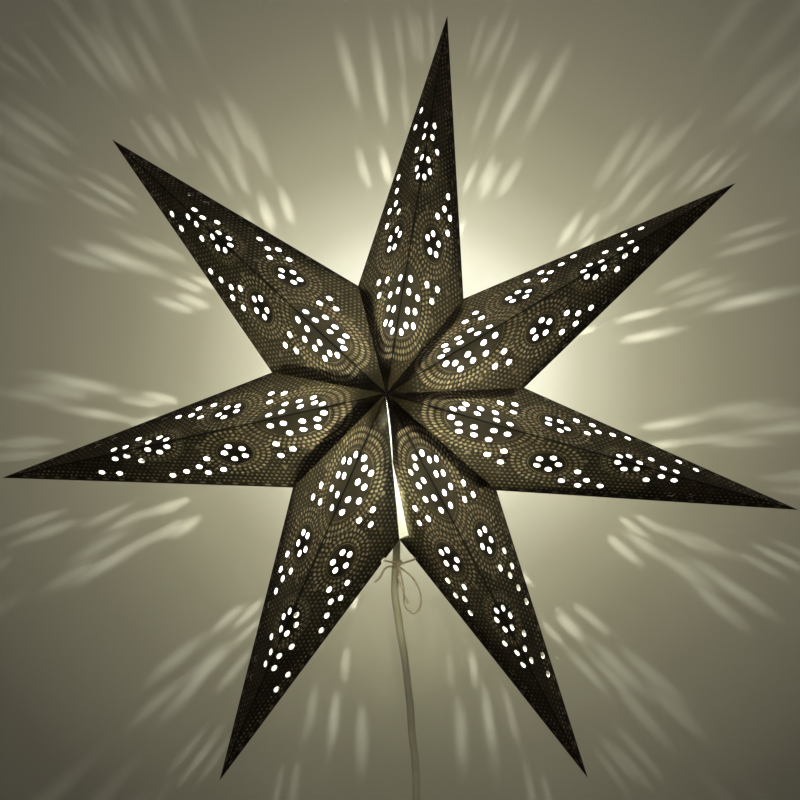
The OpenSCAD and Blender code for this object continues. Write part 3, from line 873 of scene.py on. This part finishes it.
class STARLAMP_OT_twine(bpy.types.Operator):
    """Makes the tying twine at the open seam, with its knot, bow loop and ends"""
    bl_idname = "starlamp.twine"
    bl_label = "Tying twine"

    def execute(self, context):
        lamp = context.scene.lamp_sizes
        tan = make_twine(context.scene.lamp_finish)
        bm = bmesh.new()
        for turn, tilt in ((0, 0.15), (1, 1.35), (2, 2.3)):
            circle = bmesh.ops.create_circle(bm, cap_ends=False, segments=14, radius=0.00085)
            verts = circle["verts"]
            bmesh.ops.translate(bm, vec=(0.00155, 0, 0), verts=verts)
            edges = list({e for v in verts for e in v.link_edges})
            bmesh.ops.rotate(bm, cent=(0.00155, 0, 0), matrix=Matrix.Rotation(math.pi / 2, 3, "X"),
                             verts=verts)
            before = set(bm.verts) - set(verts)
            bmesh.ops.spin(bm, geom=verts + edges, cent=(0, 0, 0), axis=(0, 0, 1),
                           angle=2 * math.pi, steps=24, use_merge=True)
            fresh = [v for v in bm.verts if v not in before]
            bmesh.ops.remove_doubles(bm, verts=fresh, dist=1e-6)
            fresh = [v for v in bm.verts if v not in before]
            pose = Matrix.Rotation(tilt, 4, "Y") @ Matrix.Rotation(0.9 * turn, 4, "X")
            bmesh.ops.transform(bm, matrix=pose, verts=fresh)
        bmesh.ops.recalc_face_normals(bm, faces=bm.faces)
        bmesh.ops.translate(bm, vec=KNOT_AT, verts=bm.verts)
        knot = finish_piece("twine_knot", bm, [tan], 60)
        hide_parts("tie_knot")
        for name, route, ends, nodes in (
                ("twine_tie", TIE_ROUTE, "bare", ("tie_string", "twine_end_left")),
                ("twine_bow", BOW_ROUTE, "knot", ("bow_loop",)),
                ("twine_right_end", END_ROUTE, "bare", ("twine_end_right",))):
            places = millimetres(route)
            made = smooth_cord(name, places, lamp.twine_d, tan, 3)
            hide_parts(*nodes)
        return {"FINISHED"}


# Light holes of one half of a point: distance along the fold, and distance from it
MIDDLE_HOLES = ((49, 5.5), (56, 9.7), (59, 17.7), (67, 8.8), (70, 17), (81, 7), (81, 17.5),
                (86, 34), (91, 6.6), (95.5, 25.5), (97.5, 38))
RING_HOLES = ((121.5, 23), (122.5, 30.5), (130, 18), (131.5, 31.5), (136, 23.5))
TRAIL_HOLES = ((145, 40), (151.5, 25.5), (157.5, 40), (161, 32), (172.5, 34), (184.5, 35))
TIP_HOLES = ((199, 13.5), (207, 5.6), (217, 5.8), (222, 21.5), (234.5, 16.5))
FLOWER_AT, FLOWER_R, FLOWER_TURN = 180.5, 8.8, 25


def light_holes(side):
    flower = []
    for k in range(3):
        a = math.radians(side * (FLOWER_TURN + 60 * k) + (0 if side > 0 else 180))
        flower.append((FLOWER_AT + FLOWER_R * math.cos(a), abs(FLOWER_R * math.sin(a))))
    holes = MIDDLE_HOLES + RING_HOLES + TRAIL_HOLES + tuple(flower) + TIP_HOLES
    return [Vector(p) * MM for p in holes]


TAB_START, TAB_END, TAB_SLANT = 5 * MM, 7 * MM, 13 * MM
FREE_START, FREE_DROP = 20 * MM, 0.3 * MM
FREE_END, FREE_W = {True: 8 * MM, False: 26 * MM}, {True: 9 * MM, False: 4 * MM}
FLAP_W, FLAP_WIDE, FLAP_END_W = 4.5 * MM, 11.3 * MM, 12.2 * MM
FLAP_WIDE_AT, FLAP_SHORT = 85 * MM, 28 * MM
GLUE_T = 0.05 * MM
CORD_CLEAR = 0.5 * MM
# The front corners leave a gap that is almost closed
CENTRE_CUT = 1 / 16
TWINE_HOLE_AT = {1: 19 * MM, -1: 16 * MM}
# Each paper has three materials in a row: outside, inside and cut edge
PRINTED, MARGIN, SHEEN, GLUED = 0, 3, 6, 9


def lay_sheet(bm, outline, holes, star, matrix, depth, inner, fold_l, side, index):
    """Fills an outline with round holes in face coordinates, and places it on its face."""
    rim = [bm.verts.new((p.x, p.y, 0)) for p in outline]
    edges = [bm.edges.new((a, b)) for a, b in zip(rim, rim[1:] + rim[:1])]
    for p in holes:
        circle = bmesh.ops.create_circle(bm, cap_ends=False, segments=star.hole_sides,
                                         radius=star.hole_d / 2,
                                         matrix=Matrix.Translation((p.x, p.y, 0)))
        edges += list({e for v in circle["verts"] for e in v.link_edges})
    filled = bmesh.ops.triangle_fill(bm, edges=edges, use_beauty=True, use_dissolve=False)
    faces = [f for f in filled["geom"] if isinstance(f, bmesh.types.BMFace)]
    sheet_uv = bm.loops.layers.uv["sheet"]
    rim_uv = bm.loops.layers.uv["rim"]
    edge = (Vector((fold_l, 0)) - inner).normalized()
    for face in faces:
        face.normal_update()
        if face.normal.z < 0:
            face.normal_flip()
        face.material_index = index
        for loop in face.loops:
            p = loop.vert.co.to_2d()
            loop[sheet_uv].uv = (p.x, side * p.y)
            loop[rim_uv].uv = ((p - inner).dot(edge), (p - inner).dot(Vector((edge.y, -edge.x))))
    verts = list({v for f in faces for v in f.verts})
    loose = [v for e in edges if e.is_valid for v in e.verts if not v.link_faces]
    bmesh.ops.delete(bm, geom=list(set(loose)), context="VERTS")
    if matrix.determinant() < 0:
        bmesh.ops.reverse_faces(bm, faces=faces)
    bmesh.ops.transform(bm, matrix=matrix @ Matrix.Translation((0, 0, -depth)), verts=verts)
    return faces


def face_outline(star, i, front, side, inner, fold_l):
    """Corners of a face, with the gap at the star's centre and the bite of the twine's hole."""
    outline = [Vector((0, 0)), inner]
    if front:
        cut = CENTRE_CUT * star.centre_hole_d
        outline = [Vector((cut, 0)), cut * inner.normalized(), inner]
    if (i, side) in ((OPEN_SEAM, -1), (OPEN_SEAM + 1, 1)):
        for k in range(9):
            a = math.pi * (1 - k / 8)
            outline.append(from_edge(inner, (fold_l, 0), TWINE_HOLE_AT[side]
                                     + star.twine_hole_d / 2 * math.cos(a),
                                     star.twine_hole_d / 2 * math.sin(a)))
    return outline + [Vector((fold_l, 0))]


def cut_cord_slot(bm, faces, lamp):
    """Cuts the slot for the cord out of a face, open to the seam."""
    half = lamp.cord_d / 2 + CORD_CLEAR
    for place, normal in (((half, 0, 0), (1, 0, 0)), ((0, lamp.axis_y - half, 0), (0, 1, 0)),
                          ((0, lamp.axis_y + half, 0), (0, 1, 0))):
        parts = [g for f in faces if f.is_valid for g in (f, *f.edges, *f.verts)]
        made = bmesh.ops.bisect_plane(bm, geom=list(set(parts)), dist=1e-6, plane_co=place,
                                      plane_no=normal)
        faces = [g for g in made["geom"] if isinstance(g, bmesh.types.BMFace)]
    inside = []
    for f in faces:
        c = f.calc_center_median()
        if abs(c.x) < half and abs(c.y - lamp.axis_y) < half and c.z < lamp.holder_z:
            inside.append(f)
    bmesh.ops.delete(bm, geom=inside, context="FACES")


class STARLAMP_OT_points(bpy.types.Operator):
    """Folds, punches and glues the seven paper points"""
    bl_idname = "starlamp.points"
    bl_label = "Paper points"

    def execute(self, context):
        star, lamp = context.scene.star_sizes, context.scene.lamp_sizes
        finish = context.scene.lamp_finish
        printed = make_printed_paper("printed_paper", finish)
        margin = make_printed_paper("printed_paper_with_margin", finish,
                                    face_frame(star, OPEN_SEAM, True, -1)[1])
        sheen = make_printed_paper("printed_paper_with_sheen", finish, None,
                                   face_frame(star, OPEN_SEAM + 1, True, 1)[1])
        bare = make_bare_paper("bare_paper", finish, 1.0)
        cut = make_bare_paper("cut_paper", finish, 0.85)
        glued = make_bare_paper("glued_paper", finish, 0.9, 0.05)
        for i in range(POINTS):
            bm = bmesh.new()
            bm.loops.layers.uv.new("sheet")
            bm.loops.layers.uv.new("rim")
            for front in (True, False):
                for side in (1, -1):
                    self.add_face(bm, star, lamp, i, front, side)
                self.add_tab(bm, star, i, front)
            self.add_flap(bm, star, i)
            bmesh.ops.remove_doubles(bm, verts=bm.verts, dist=1e-5)
            made = finish_piece(f"paper_point_{i + 1}", bm,
                                [printed, bare, cut, margin, bare, cut, sheen, bare, cut,
                                 glued, glued, cut])
            wall = made.modifiers.new("paper_thickness", "SOLIDIFY")
            wall.thickness = star.paper_t
            wall.offset = -1
            wall.use_even_offset = True
            wall.material_offset = 1
            wall.material_offset_rim = 2
            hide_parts(f"star_point_{i + 1}")
        return {"FINISHED"}

    def add_face(self, bm, star, lamp, i, front, side):
        matrix, inner, fold_l = face_frame(star, i, front, side)
        index = {(OPEN_SEAM, True, -1): MARGIN,
                 (OPEN_SEAM + 1, True, 1): SHEEN}.get((i, front, side), PRINTED)
        faces = lay_sheet(bm, face_outline(star, i, front, side, inner, fold_l),
                          light_holes(side), star, matrix, 0, inner, fold_l, side, index)
        if (i, front, side) == (OPEN_SEAM + 1, False, 1):
            cut_cord_slot(bm, faces, lamp)

    def add_tab(self, bm, star, i, front):
        start = Vector((0, 0))
        if i == OPEN_SEAM:
            matrix, inner, fold_l = face_frame(star, i, front, -1)
            last = inner.length - FREE_END[front]
            outline = [from_edge(start, inner, FREE_START, 0),
                       from_edge(start, inner, FREE_START + TAB_SLANT, -FREE_W[front]),
                       from_edge(start, inner, last - TAB_SLANT, -FREE_W[front]),
                       from_edge(start, inner, last, 0)]
            depth = star.paper_t + FREE_DROP
        else:
            matrix, inner, fold_l = face_frame(star, (i + 1) % POINTS, front, 1)
            last = inner.length - TAB_END
            outline = [from_edge(start, inner, TAB_START, 0),
                       from_edge(start, inner, TAB_START + TAB_SLANT, star.tab_w),
                       from_edge(start, inner, last - TAB_SLANT, star.tab_w),
                       from_edge(start, inner, last, 0)]
            depth = star.paper_t + GLUE_T
        lay_sheet(bm, outline, [], star, matrix, depth, inner, fold_l, 1, GLUED)

    def add_flap(self, bm, star, i):
        matrix, inner, fold_l = face_frame(star, i, True, -1)
        end = Vector((fold_l, 0))
        run_out = (end - inner).length - FLAP_END_W * (end.x - inner.x) / inner.y
        last = (end - inner).length - FLAP_SHORT
        outline = [inner, from_edge(inner, end, last, 0),
                   from_edge(inner, end, last, 0.8 * FLAP_SHORT * inner.y / (end.x - inner.x)),
                   from_edge(inner, end, run_out, 0.97 * FLAP_END_W),
                   from_edge(inner, end, FLAP_WIDE_AT, FLAP_WIDE),
                   from_edge(inner, end, FLAP_W, FLAP_W)]
        lay_sheet(bm, outline, [], star, matrix, star.paper_t + GLUE_T, inner, fold_l, -1, PRINTED)


class STARLAMP_OT_lamp(bpy.types.Operator):
    """Makes the lampholder, the bulb and its light"""
    bl_idname = "starlamp.lamp"
    bl_label = "Lampholder and bulb"

    def execute(self, context):
        lamp, finish = context.scene.lamp_sizes, context.scene.lamp_finish
        light = context.scene.lamp_light
        white = make_plastic("holder_plastic", finish, 0.3)
        nickel = bpy.data.materials["nickel_plating"]
        foot = Vector((0, lamp.axis_y, lamp.holder_z))

        bm = bmesh.new()
        turned(bm, [(0.003, 0.0005), (0.003, 0), (0.0056, 0), (0.006, 0.0005), (0.006, 0.0058),
                    (0.0065, 0.0064), (0.0108, 0.0098), (0.0128, 0.0112), (0.0135, 0.0126),
                    (0.0135, 0.0138), (0.0128, 0.014), (0.003, 0.014), (0.003, 0.0005)], foot, 64)
        cap = finish_piece("holder_cap", bm, [white], 30)
        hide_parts("lampholder_cap")

        bm = bmesh.new()
        shell = [(0, 0.0142), (0.0126, 0.0142), (0.0132, 0.0146), (0.0132, 0.0205),
                 (0.0127, 0.021), (0.0127, 0.0218), (0.0131, 0.0222), (0.0131, 0.0405),
                 (0.0135, 0.041), (0.0135, 0.0462), (0.0128, 0.0474), (0.0118, 0.048),
                 (0.0078, 0.048), (0.00745, 0.0476), (0.00745, 0.02), (0, 0.02)]
        _, faces = turned(bm, shell, foot, 72)
        band = [f for f in faces if abs(f.normal.z) < 0.1 and f.calc_area() > 1.5e-5
                and (f.calc_center_median() - foot).to_2d().length > 0.012]
        band.sort(key=lambda f: math.atan2(*(f.calc_center_median() - foot).to_2d()))
        bmesh.ops.inset_individual(bm, faces=band[::3], thickness=0.0001, depth=0.0004)
        body = finish_piece("holder_shell", bm, [white], 30)
        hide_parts("lampholder_shell")

        bm = bmesh.new()
        thread = [(0, 0), (0.0028, 0), (0.0034, 0.0004), (0.0044, 0.002)]
        seat = foot + Vector((0, 0, 0.0203))
        turned(bm, thread + [(0.0044, 0.0022), (0, 0.0022)], seat, 32)
        sleeve = [(0, 0.0021), (0.0048, 0.0021), (0.0062, 0.0042)]
        for k in range(6):
            z = 0.0052 + 0.0028 * k
            sleeve += [(0.00625, z), (0.0068, z + 0.0007), (0.00695, z + 0.0012),
                       (0.0068, z + 0.0017)]
        sleeve += [(0.0063, 0.0222), (0.0066, 0.0235), (0.0066, 0.0268), (0, 0.0268)]
        turned(bm, sleeve, seat, 48)
        screw = finish_piece("bulb_screw", bm, [nickel], 50)
        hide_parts("bulb_screw_cap")

        bm = bmesh.new()
        bulb_r, neck_z, ball_z = 0.0225, 0.0473, 0.0755
        envelope = [(0.0062, neck_z - 0.0002), (0.0066, neck_z + 0.001), (0.0078, neck_z + 0.0035),
                    (0.0094, neck_z + 0.0065)]
        start = math.asin(0.0104 / bulb_r)
        for k in range(20):
            a = start + (math.pi - start) * k / 19
            envelope.append((max(bulb_r * math.sin(a), 0), ball_z - bulb_r * math.cos(a)))
        turned(bm, envelope, foot, 64)
        glass = finish_piece("bulb_envelope", bm, [make_glass()], 80)
        wall = glass.modifiers.new("glass_wall", "SOLIDIFY")
        wall.thickness = 0.0006
        wall.offset = -1
        glass.visible_shadow = False
        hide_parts("bulb_glass")

        bm = bmesh.new()
        turned(bm, [(0, neck_z - 0.001), (0.0055, neck_z - 0.001), (0.0045, neck_z + 0.004),
                    (0.002, neck_z + 0.009), (0.0014, neck_z + 0.018), (0.0014, neck_z + 0.034),
                    (0.0022, neck_z + 0.036), (0, neck_z + 0.037)], foot, 24, 0)
        for k in range(4):
            a = math.pi / 4 + k * math.pi / 2
            low = foot + Vector((0.005 * math.cos(a), 0.005 * math.sin(a), neck_z + 0.011))
            high = foot + Vector((0.009 * math.cos(a), 0.009 * math.sin(a), neck_z + 0.034))
            turned(bm, [(0, 0), (0.0007, 0.0002), (0.0008, 0.002), (0.0008, 0.0225),
                        (0.0007, 0.0238), (0, 0.024)], low, 10, 1, high - low)
        rods = finish_piece("bulb_filaments", bm,
                            [bpy.data.materials["bulb_glass"],
                             make_glow("filament_glow", (1.0, 0.95, 0.72), 30.0)],
                            40)
        rods.visible_shadow = False

        centre = Vector((0, lamp.axis_y, lamp.light_z))
        for k in range(4):
            a = math.pi * (0.25 + 0.5 * k)
            off = Vector((0.007 * math.cos(a), 0.007 * math.sin(a), 0.002 * (k - 1.5)))
            place_light(f"filament_light_{k + 1}", "POINT", light.filament / 4, 0.0015,
                        (0.96, 1.0, 0.98), centre + off)
        place_light("glass_light", "POINT", light.glow, 0.019, (1.0, 1.0, 0.84), centre)
        return {"FINISHED"}


# Painted glow on the wall, an emission that stands in for the lamp's light round the star, from
# behind the star's middle outwards, and the radius where it ends
WALL_GLOW_R = 0.6
WALL_GLOW = ((0, (1.0, 0.98, 0.8)), (0.16, (0.86, 0.84, 0.66)), (0.22, (0.54, 0.52, 0.37)),
             (0.3, (0.31, 0.295, 0.19)), (0.4, (0.185, 0.175, 0.11)),
             (0.5, (0.115, 0.108, 0.07)), (0.7, (0.035, 0.032, 0.022)),
             (1, (0.004, 0.004, 0.002)))


class STARLAMP_OT_stage(bpy.types.Operator):
    """Sets up the pale wall that the star hangs on, with a painted glow and painted shade, the floor
    and the soft studio light
    """
    bl_idname = "starlamp.stage"
    bl_label = "Stage"

    def execute(self, context):
        light = context.scene.lamp_light
        wall_material, g, shader = new_material("pale_wall")
        place = g.place()
        height = g.node("ShaderNodeSeparateXYZ")
        g.put(height.inputs[0], place)
        # Painted shade: the wall's colour is darker towards the bottom
        shade = mix_number(g, g.step(height.outputs[2], -0.38, 0.1), 0.55, 1.0)
        paint = g.mix(g.noise(place, 3.0, 2.0), (0.26, 0.245, 0.19), (0.23, 0.215, 0.165))
        g.put(shader.inputs["Base Color"], g.mix(shade, (0, 0, 0), paint))
        shader.inputs["Roughness"].default_value = 0.95
        # Painted glow: the wall's emission falls off with the distance from a point just above the
        # star's middle
        flat = g.vector("MULTIPLY", g.vector("SUBTRACT", place, (0.01, 0, 0.035)), (1, 0, 1))
        glow = g.node("ShaderNodeValToRGB")
        stops = glow.color_ramp.elements
        for stop, colour in zip(stops, (WALL_GLOW[0][1], WALL_GLOW[-1][1])):
            stop.color = (*colour, 1)
        for at, colour in WALL_GLOW[1:-1]:
            stops.new(at).color = (*colour, 1)
        g.put(glow.inputs[0], g.math("DIVIDE", g.vector("LENGTH", flat), WALL_GLOW_R))
        g.put(shader.inputs["Emission Color"], glow.outputs[0])
        shader.inputs["Emission Strength"].default_value = 1.0
        behind = g.node("ShaderNodeMixShader")
        g.put(behind.inputs[0], g.node("ShaderNodeNewGeometry").outputs["Backfacing"])
        g.put(behind.inputs[1], shader.outputs[0])
        g.put(behind.inputs[2], g.node("ShaderNodeBsdfTransparent").outputs[0])
        g.put(g.tree.nodes["Material Output"].inputs["Surface"], behind.outputs[0])

        floor_material, g, shader = new_material("pale_floor")
        g.put(shader.inputs["Base Color"],
              g.mix(g.noise(g.place(), 4.0), (0.62, 0.6, 0.56), (0.56, 0.54, 0.5)))
        shader.inputs["Roughness"].default_value = 0.8

        for name, material, matrix in (
                ("wall", wall_material, Matrix.Translation((0, 0.0008, 0.6))
                 @ Matrix.Rotation(math.pi / 2, 4, "X")),
                ("floor", floor_material, Matrix.Translation((0, 0, -0.9)))):
            bm = bmesh.new()
            bmesh.ops.create_grid(bm, x_segments=4, y_segments=4, size=1.5, matrix=matrix)
            made = finish_piece(name, bm, [material])

        soft = (1.0, 0.97, 0.9)
        place_light("soft_light_right", "AREA", light.studio, 1.2, soft, (1.0, -1.3, 1.4),
                    (0, 0, -0.05))
        place_light("soft_light_left", "AREA", light.studio * 0.35, 1.0, soft, (-1.5, -1.2, 0.3),
                    (0, 0, 0))
        seam = place_light("seam_light", "SPOT", light.seam, 0.01, (1.0, 0.97, 0.72),
                           (0.03, -0.35, -0.05), (0.004, -0.084, -0.145))
        seam.spot_size = math.radians(17)
        seam.spot_blend = 1.0
        world = bpy.data.worlds.new("room")
        world.use_nodes = True
        world.node_tree.nodes["Background"].inputs["Color"].default_value = (1, 0.97, 0.9, 1)
        world.node_tree.nodes["Background"].inputs["Strength"].default_value = light.room
        context.scene.world = world
        context.scene.view_settings.view_transform = "Standard"
        return {"FINISHED"}


class STARLAMP_PT_panel(bpy.types.Panel):
    """Lists the pieces of the star lamp"""
    bl_idname = "STARLAMP_PT_panel"
    bl_label = "Star lamp"
    bl_space_type = "VIEW_3D"
    bl_region_type = "UI"
    bl_category = "Star lamp"

    def draw(self, context):
        for operator in OPERATORS:
            self.layout.operator(operator.bl_idname)
        for group in (context.scene.star_sizes, context.scene.lamp_sizes,
                      context.scene.lamp_finish, context.scene.lamp_light):
            for name in group.bl_rna.properties.keys():
                if name not in ("rna_type", "name"):
                    self.layout.prop(group, name)


OPERATORS = (STARLAMP_OT_camera, STARLAMP_OT_cord, STARLAMP_OT_twine, STARLAMP_OT_points,
             STARLAMP_OT_lamp, STARLAMP_OT_stage)
GROUPS = {"star_sizes": StarSizes, "lamp_sizes": LampSizes, "lamp_finish": Finish,
          "lamp_light": Lighting}


def register():
    for kind in (*GROUPS.values(), *OPERATORS, STARLAMP_PT_panel):
        bpy.utils.register_class(kind)
    for name, kind in GROUPS.items():
        setattr(bpy.types.Scene, name, PointerProperty(type=kind))


def unregister():
    for name in GROUPS:
        delattr(bpy.types.Scene, name)
    for kind in reversed((*GROUPS.values(), *OPERATORS, STARLAMP_PT_panel)):
        bpy.utils.unregister_class(kind)


def main():
    """Makes the whole lamp and its stage."""
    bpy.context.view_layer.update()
    register()
    make_dotted_rings()
    make_dotted_rows()
    make_ring_line()
    make_ornament()
    bpy.ops.starlamp.camera()
    bpy.ops.starlamp.cord()
    bpy.ops.starlamp.twine()
    bpy.ops.starlamp.points()
    bpy.ops.starlamp.lamp()
    bpy.ops.starlamp.stage()
    bpy.context.view_layer.update()


if __name__ == "__main__":
    main()
